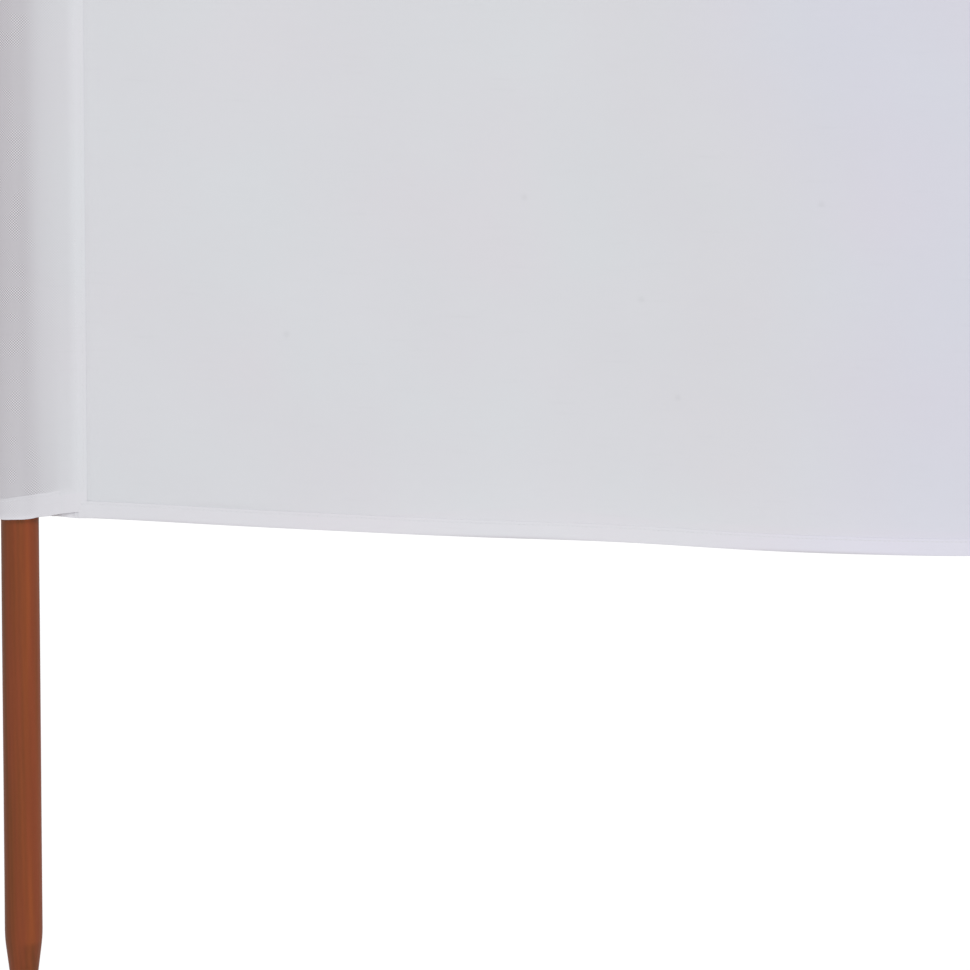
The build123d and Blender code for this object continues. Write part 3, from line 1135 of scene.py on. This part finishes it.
# %% Tones of a pocket
# These paint the wood showing through, a lighter band and a soft shadow into a pocket's tone.
POCKET_HEM = 16 * MM
HEM_PRESSED = (12 * MM, 36 * MM)
CLOSE_WOOD = (0.64, 3 * MM)
FAR_WOOD = (0.36, 30 * MM)
SEAM_DOUBLING = 0.75
HEM_DOUBLING = 0.9
LIGHTER_BAND_SHARE = 0.19
SHADOW_SHARE = 0.28
PRESSED_SHARE = 0.55


def pocket_values(points, reach, wraps, hem):
    """Stored values: the painted show-through and shade falls off with the gap to the pole, and the
    doubled tone rises at the seam.

    The show-through is the sum of two exponentials of the gap. It is weaker in a hem, towards the
    seam and near both ends. On a wrapped pole a lighter band on the front takes a part of it away,
    and the painted shadow near the ends adds some. The doubled tone is the larger of the seam's and
    the hem's.
    """
    gap = np.clip(np.hypot(points[..., 0], points[..., 1]) - SLEEVE_RADIUS, 0, None)
    backing = sum(share * np.exp(-gap / fade) for share, fade in (CLOSE_WOOD, FAR_WOOD))
    if hem:
        backing = backing * (0.55 - 0.16 * smooth(reach, -2 * MM, 6 * MM))
    backing = backing * (1 - smooth(reach, seam_start - 4 * MM, seam_start + 3 * MM))
    from_edge = np.minimum(points[..., 2] - cloth_low, cloth_high - points[..., 2])
    backing = backing * (1.08 - 0.28 * np.exp(-from_edge / (150 * MM)))
    if wraps and not hem:
        lighter_band = (0.35 + 0.65 * smooth(from_edge, 220 * MM, 310 * MM)) * bump(reach, 4.8 * MM, 6 * MM)
        shadow = np.exp(-from_edge / (70 * MM)) * smooth(from_edge, 0, 30 * MM)
        shadow = shadow * smooth(reach, 9 * MM, 15 * MM) * (1 - smooth(reach, 25 * MM, 33 * MM))
        backing = backing - LIGHTER_BAND_SHARE * lighter_band + SHADOW_SHARE * shadow
    double_and_light = SEAM_DOUBLING * smooth(reach, seam_start - 4.5 * MM, seam_start + 5 * MM)
    from_edge = from_edge - 5 * MM * smooth(reach, 4 * MM, seam_start)
    pressed = smooth(reach, *HEM_PRESSED) * (1 - smooth(from_edge, POCKET_HEM - 2 * MM, POCKET_HEM + 3 * MM))
    if not hem:
        backing = backing * (1 - PRESSED_SHARE * pressed)
    double_and_light = np.maximum(HEM_DOUBLING if hem else HEM_DOUBLING * pressed, double_and_light)
    return {"backing": backing, "doubling": double_and_light + 0 * backing, "shade": 0 * backing}


# %% [markdown]
# A pocket's hem is the same folded strip as a panel's, a little higher beside the pole and pressed
# flat along the arm. Over the pole its fold is painted grey underneath, with a painted highlight line
# just above, where the doubled cloth turns towards the light. On its inside, the sliver seen below
# the front edge, a painted glow stands in for light that comes through the cloth, so it is stored
# as extra bright.

# %% Hem of a pocket
WIDER_BESIDE_POLE = 0.11
THINNER_ON_ARM = 0.6
# INSIDE_GLOW paints a glow and FOLD_LIGHT a highlight.
INSIDE_GLOW = 4.2
FOLD_LIGHT = 2.7


def reach_of(path, wraps):
    """How far each point of a pocket's path lies towards its seam."""
    return path[:, 0] if wraps else abs(path[:, 0])


def pocket_hem_values(foot, reach, wraps, outline):
    """Stored values of a pocket's hem: those of its foot, painted shade and a painted highlight on
    the fold, and a painted glow inside.
    """
    up = outline[..., 1]
    values = {title: np.repeat(value, outline.shape[1], axis=1)
              for title, value in pocket_values(foot, reach, wraps, True).items()}
    over_pole = 1 - smooth(reach, 10 * MM, 16 * MM)
    lit = smooth(up, 0.2 * MM, 0.45 * MM) * (1 - smooth(up, 1.6 * MM, 4.0 * MM))
    values["backing"] = np.maximum(values["backing"], fold_shade(up) * over_pole)
    values["doubling"] = values["doubling"] + FOLD_LIGHT * lit * over_pole
    inside = outline[..., 0] < -0.1 * MM
    values["backing"][inside] = 0
    values["doubling"][inside] = INSIDE_GLOW
    return values


def pocket_hem(name, number, edge, wraps, mirrored, behind):
    """The strip along one end of a pocket, and its row of stitches.

    Edge is 1 for the lower end and -1 for the upper one. The outline is made higher beside the
    pole and thinner along the arm, and then carried along the pocket's edge.
    """
    path = pocket_path(wraps)
    reach, along = reach_of(path, wraps)[:, None], length_along(path)[:, None]
    at = 0 if edge == 1 else 1
    foot = pocket_surface(path, np.array([[at]]), wraps, behind)
    inner = pocket_surface(path, np.array([[at + edge * POCKET_HEM / tall]]), wraps, behind)
    wider = 1 + WIDER_BESIDE_POLE * smooth(reach, -10 * MM, 8 * MM)
    pressed = 1 - THINNER_ON_ARM * smooth(reach, *HEM_PRESSED)
    outline = np.repeat(fold_outline(POCKET_HEM, HEM_THICKNESS, HEM_BACK)[None], len(path), axis=0)
    outline[..., 1] *= wider
    outline[..., 0] = HEM_BACK + (outline[..., 0] - HEM_BACK) * pressed
    values = pocket_hem_values(foot, reach, wraps, outline)
    flat = np.stack([np.broadcast_to(along, outline.shape[:2]), outline[..., 1]], axis=-1)
    order = slice(None, None, -1) if mirrored else slice(None)
    foot, inner = [set_round_pole(line, number, mirrored, behind)[:, 0] for line in (foot, inner)]
    upward, outward = hem_frame(foot, inner, edge)
    wider, pressed, outline, flat = wider[order], pressed[order], outline[order], flat[order]
    turn = slice(None) if edge == 1 else slice(None, None, -1)
    points, faces = strip(foot[turn], outward[turn], upward[turn], outline[turn])
    title = "lower" if edge == 1 else "upper"
    made = piece(f"{name}_{title}_hem", points, faces, polyester, flat=flat[turn].reshape(-1, 2),
                 values={key: value[order][turn].ravel() for key, value in values.items()})
    line = (foot + upward * (POCKET_HEM * wider - STITCH_FROM_FOLD)
            + outward * (HEM_BACK + HEM_THICKNESS * pressed))
    return made, stitch_row(line, outward)


# %% [markdown]
# A pocket's cloth is a sheet over the path and the height, with more rows near its two ends. Each
# of its seams has two rows of stitches, on the layers that face outwards.

# %% Pockets
pocket_rows = np.concatenate([np.linspace(0, 0.03, 8), np.linspace(0.03, 0.97, 92)[1:-1],
                              np.linspace(0.97, 1, 8)])


def pocket_cloth(name, replaced, number, wraps, mirrored, behind):
    """One pocket or strip as a closed sheet, and the width of the cloth that it is cut from."""
    path = pocket_path(wraps)
    middle = pocket_surface(path, pocket_rows[None], wraps, behind)
    values = pocket_values(middle, reach_of(path, wraps)[:, None], wraps, False)
    along = length_along(path)
    flat = np.stack(np.broadcast_arrays(along[:, None], pocket_rows[None] * tall), axis=-1)
    order = slice(None, None, -1) if mirrored else slice(None)
    points, faces = sheet(set_round_pole(middle, number, mirrored, behind), CLOTH)
    made = piece(name, points, faces, polyester, [replaced],
                 flat=np.tile(flat[order].reshape(-1, 2), (2, 1)),
                 values={title: np.tile(value[order].ravel(), 2) for title, value in values.items()})
    return made, along[-1]


def seam_rows(number, wraps, mirrored, behind):
    """The two rows of stitches in each seam of a pocket, on the layers that face outwards."""
    share = np.linspace(POCKET_HEM / tall, 1 - POCKET_HEM / tall, 260)[None]
    seams = [(1, -1), (1, 1)] if wraps else [(1, -1), (-1, -1)]
    made = []
    for right, front in seams:
        for x in (seam_start + 2.0 * MM, seam_end - 2.2 * MM):
            path = np.array([[right * x, front * arm_depth(x)]])
            line = pocket_surface(path, share, wraps, behind)
            line = set_round_pole(line, number, mirrored, behind)[0]
            outward = np.zeros_like(line)
            outward[:, 1] = -front if behind else front
            made.append(stitch_row(line + outward * CLOTH / 2, outward))
    return made


# %% [markdown]
# The end poles carry a whole pocket with its seam towards the row. The poles between carry a
# strip in front and one behind. All the stitches of one pole are joined into one piece. Each
# pocket is a sheet of a known cut, which rests on its pole, and its cut is printed.

# %% Pockets on the five poles
for number in pole_x:
    if number in (1, pole_count):
        kinds = [(f"cloth_pocket_{number}", f"pocket_{number}", True, number == pole_count, False)]
    else:
        kinds = [(f"cloth_pocket_front_{number}", f"pocket_front_{number}", False, False, False),
                 (f"cloth_pocket_back_{number}", f"pocket_back_{number}", False, False, True)]
    made, rows = [], []
    for name, replaced, wraps, mirrored, behind in kinds:
        cloth, width = pocket_cloth(name, replaced, number, wraps, mirrored, behind)
        lower, lower_row = pocket_hem(name, number, 1, wraps, mirrored, behind)
        upper, upper_row = pocket_hem(name, number, -1, wraps, mirrored, behind)
        rows += [lower_row, upper_row, *seam_rows(number, wraps, mirrored, behind)]
        made.append((cloth, width, [lower, upper]))
    points, faces = join(rows)
    made[0][2].append(piece(f"seam_stitches_{number}", points, faces, thread))
    for cloth, width, others in made:
        print(cloth.name, "is cut", round(width, 4), "by", round(tall, 3))
print("pockets with their stitches,", triangle_total, "triangles so far")

# %% [markdown]
# Each panel is a sheet of a known cut: the distance between the starts of its two seams, and the
# height of the cloth.

for bay, cloth in panels.items():
    print(cloth.name, "is cut", round(bay_right - bay_left, 4), "by", round(tall, 3))

# %% Finish
bpy.context.scene.view_settings.view_transform = "Standard"
print("triangles in all", triangle_total)
